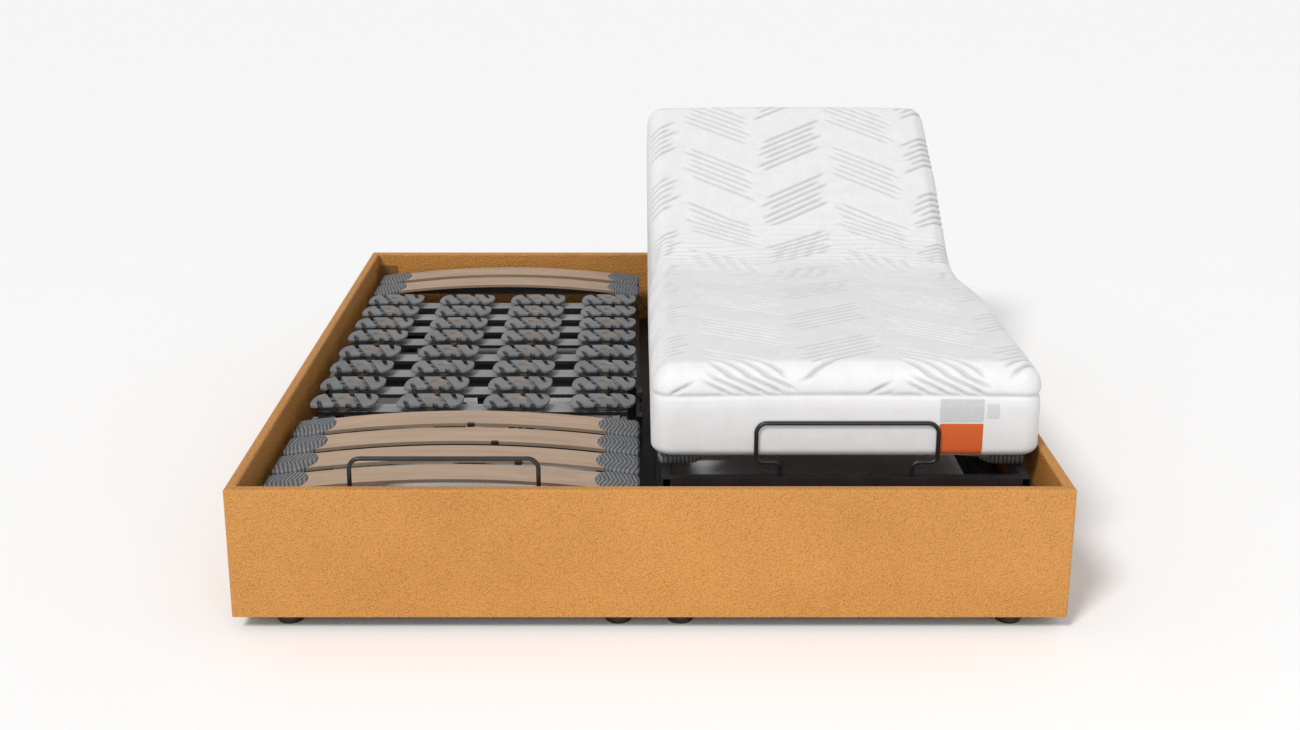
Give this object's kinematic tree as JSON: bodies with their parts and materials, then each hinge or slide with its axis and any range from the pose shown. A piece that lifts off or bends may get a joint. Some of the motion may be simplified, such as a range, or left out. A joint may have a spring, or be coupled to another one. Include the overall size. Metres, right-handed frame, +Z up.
{
  "type": "adjustable bed base",
  "caption": "Leather-covered double bed surround on round feet with separate electric slatted units that lift the back and legs, with spring elements, slats, a retainer bar and a mattress.",
  "frame": {"origin": "on the floor, under the centre of the bed", "axes": "+X to the right seen from the foot end, +Y to the head end, +Z up"},
  "size_m": [1.86, 2.06, 0.8781],
  "materials": {
    "leather": "pebbled, satin",
    "board": "raw chipboard",
    "bracket_steel": "black powder coat",
    "timber": "raw pine",
    "foot_plastic": "matt",
    "screw_steel": "zinc",
    "frame_steel": "black powder coat",
    "shoe_plastic": "nylon",
    "crossbar_metal": "matt anodised",
    "element_plastic": "satin",
    "drive_plastic": "fine grain",
    "motor_metal": "satin",
    "beech": "clear matt lacquer",
    "cap_rubber": "ribbed",
    "bar_steel": "satin black",
    "link_steel": "zinc",
    "ram_steel": "ground",
    "mattress_knit": "quilted knit"
  },
  "bodies": {
    "surround": {"foot_cover": "leather", "head_cover": "leather", "left_cover": "leather", "right_cover": "leather", "panel_boards": "board", "corner_brackets": "bracket_steel", "cross_rails": "timber", "centre_beam": "timber", "side_ledgers": "timber", "feet": "foot_plastic", "foot_screws": "screw_steel", "left_base_frame": "frame_steel", "right_base_frame": "frame_steel"},
    "left_carriage": {"left_seat_frame": "frame_steel", "left_glide_shoes": "shoe_plastic", "left_seat_crossbars": "crossbar_metal", "left_seat_elements": "element_plastic", "left_drive_housings": "drive_plastic", "left_drive_motors": "motor_metal"},
    "left_back": {"left_back_frame": "frame_steel", "left_back_crossbars": "crossbar_metal", "left_back_elements": "element_plastic", "left_back_slats": "beech", "left_back_caps": "cap_rubber"},
    "left_thigh": {"left_thigh_frame": "frame_steel", "left_thigh_crossbars": "crossbar_metal", "left_thigh_elements": "element_plastic"},
    "left_calf": {"left_calf_frame": "frame_steel", "left_calf_slats": "beech", "left_calf_caps": "cap_rubber", "left_retainer_bar": "bar_steel"},
    "left_calf_links": {"left_calf_links": "link_steel"},
    "left_back_ram": {"left_back_ram": "ram_steel"},
    "left_leg_ram": {"left_leg_ram": "ram_steel"},
    "right_carriage": {"right_seat_frame": "frame_steel", "right_glide_shoes": "shoe_plastic", "right_seat_crossbars": "crossbar_metal", "right_seat_elements": "element_plastic", "right_drive_housings": "drive_plastic", "right_drive_motors": "motor_metal", "mattress_middle": "mattress_knit"},
    "right_back": {"right_back_frame": "frame_steel", "right_back_crossbars": "crossbar_metal", "right_back_elements": "element_plastic", "right_back_slats": "beech", "right_back_caps": "cap_rubber", "mattress_back": "mattress_knit"},
    "right_thigh": {"right_thigh_frame": "frame_steel", "right_thigh_crossbars": "crossbar_metal", "right_thigh_elements": "element_plastic", "mattress_thigh": "mattress_knit"},
    "right_calf": {"right_calf_frame": "frame_steel", "right_calf_slats": "beech", "right_calf_caps": "cap_rubber", "right_retainer_bar": "bar_steel", "mattress_calf": "mattress_knit"},
    "right_calf_links": {"right_calf_links": "link_steel"},
    "right_back_ram": {"right_back_ram": "ram_steel"},
    "right_leg_ram": {"right_leg_ram": "ram_steel"}
  },
  "joints": [
    {"name": "left_glide", "type": "slide", "parent": "surround", "child": "left_carriage", "axis": [0, 1, 0], "range_m": [-0.0005, 0.32193]},
    {"name": "left_back_lift", "type": "hinge", "parent": "left_carriage", "child": "left_back", "pos_m": [-0.4525, 0.173, 0.248], "axis": [1, 0, 0], "range_deg": [0, 60]},
    {"name": "left_thigh_lift", "type": "hinge", "parent": "left_carriage", "child": "left_thigh", "pos_m": [-0.4525, -0.127, 0.248], "axis": [-1, 0, 0], "range_deg": [0, 35]},
    {"name": "left_knee", "type": "hinge", "parent": "left_thigh", "child": "left_calf", "pos_m": [-0.4525, -0.416, 0.248], "axis": [1, 0, 0], "range_deg": [0, 35]},
    {"name": "left_link_swing", "type": "hinge", "parent": "left_carriage", "child": "left_calf_links", "pos_m": [-0.4525, -0.127, 0.188], "axis": [-1, 0, 0], "range_deg": [0, 35]},
    {"name": "left_back_push", "type": "slide", "parent": "left_carriage", "child": "left_back_ram", "axis": [0, 1, 0], "range_m": [-0.0005, 0.1305]},
    {"name": "left_leg_push", "type": "slide", "parent": "left_carriage", "child": "left_leg_ram", "axis": [0, -1, 0], "range_m": [-0.0005, 0.07868]},
    {"name": "right_glide", "type": "slide", "parent": "surround", "child": "right_carriage", "axis": [0, 1, 0], "range_m": [-0.1505, 0.17193]},
    {"name": "right_back_lift", "type": "hinge", "parent": "right_carriage", "child": "right_back", "pos_m": [0.4525, 0.323, 0.248], "axis": [1, 0, 0], "range_deg": [-28, 32], "deforming": ["mattress_middle"]},
    {"name": "right_thigh_lift", "type": "hinge", "parent": "right_carriage", "child": "right_thigh", "pos_m": [0.4525, 0.023, 0.248], "axis": [-1, 0, 0], "range_deg": [-5, 30]},
    {"name": "right_knee", "type": "hinge", "parent": "right_thigh", "child": "right_calf", "pos_m": [0.4525, -0.2649, 0.27319], "axis": [1, 0, 0], "range_deg": [-5, 30]},
    {"name": "right_link_swing", "type": "hinge", "parent": "right_carriage", "child": "right_calf_links", "pos_m": [0.4525, 0.023, 0.188], "axis": [-1, 0, 0], "range_deg": [-5, 30]},
    {"name": "right_back_push", "type": "slide", "parent": "right_carriage", "child": "right_back_ram", "axis": [0, 1, 0], "range_m": [-0.06117, 0.06983]},
    {"name": "right_leg_push", "type": "slide", "parent": "right_carriage", "child": "right_leg_ram", "axis": [0, -1, 0], "range_m": [-0.01167, 0.06751]}
  ],
  "couplings": [
    {"joint": "left_glide", "follows": "left_back_lift", "m_per_rad": 0.30694},
    {"joint": "left_knee", "follows": "left_thigh_lift", "ratio": 1},
    {"joint": "left_link_swing", "follows": "left_thigh_lift", "ratio": 1},
    {"joint": "left_back_push", "follows": "left_back_lift", "m_per_rad": 0.12414},
    {"joint": "left_leg_push", "follows": "left_thigh_lift", "m_per_rad": 0.12799},
    {"joint": "right_glide", "follows": "right_back_lift", "m_per_rad": 0.30694},
    {"joint": "right_knee", "follows": "right_thigh_lift", "ratio": 1},
    {"joint": "right_link_swing", "follows": "right_thigh_lift", "ratio": 1},
    {"joint": "right_back_push", "follows": "right_back_lift", "m_per_rad": 0.12414},
    {"joint": "right_leg_push", "follows": "right_thigh_lift", "m_per_rad": 0.12799}
  ]
}
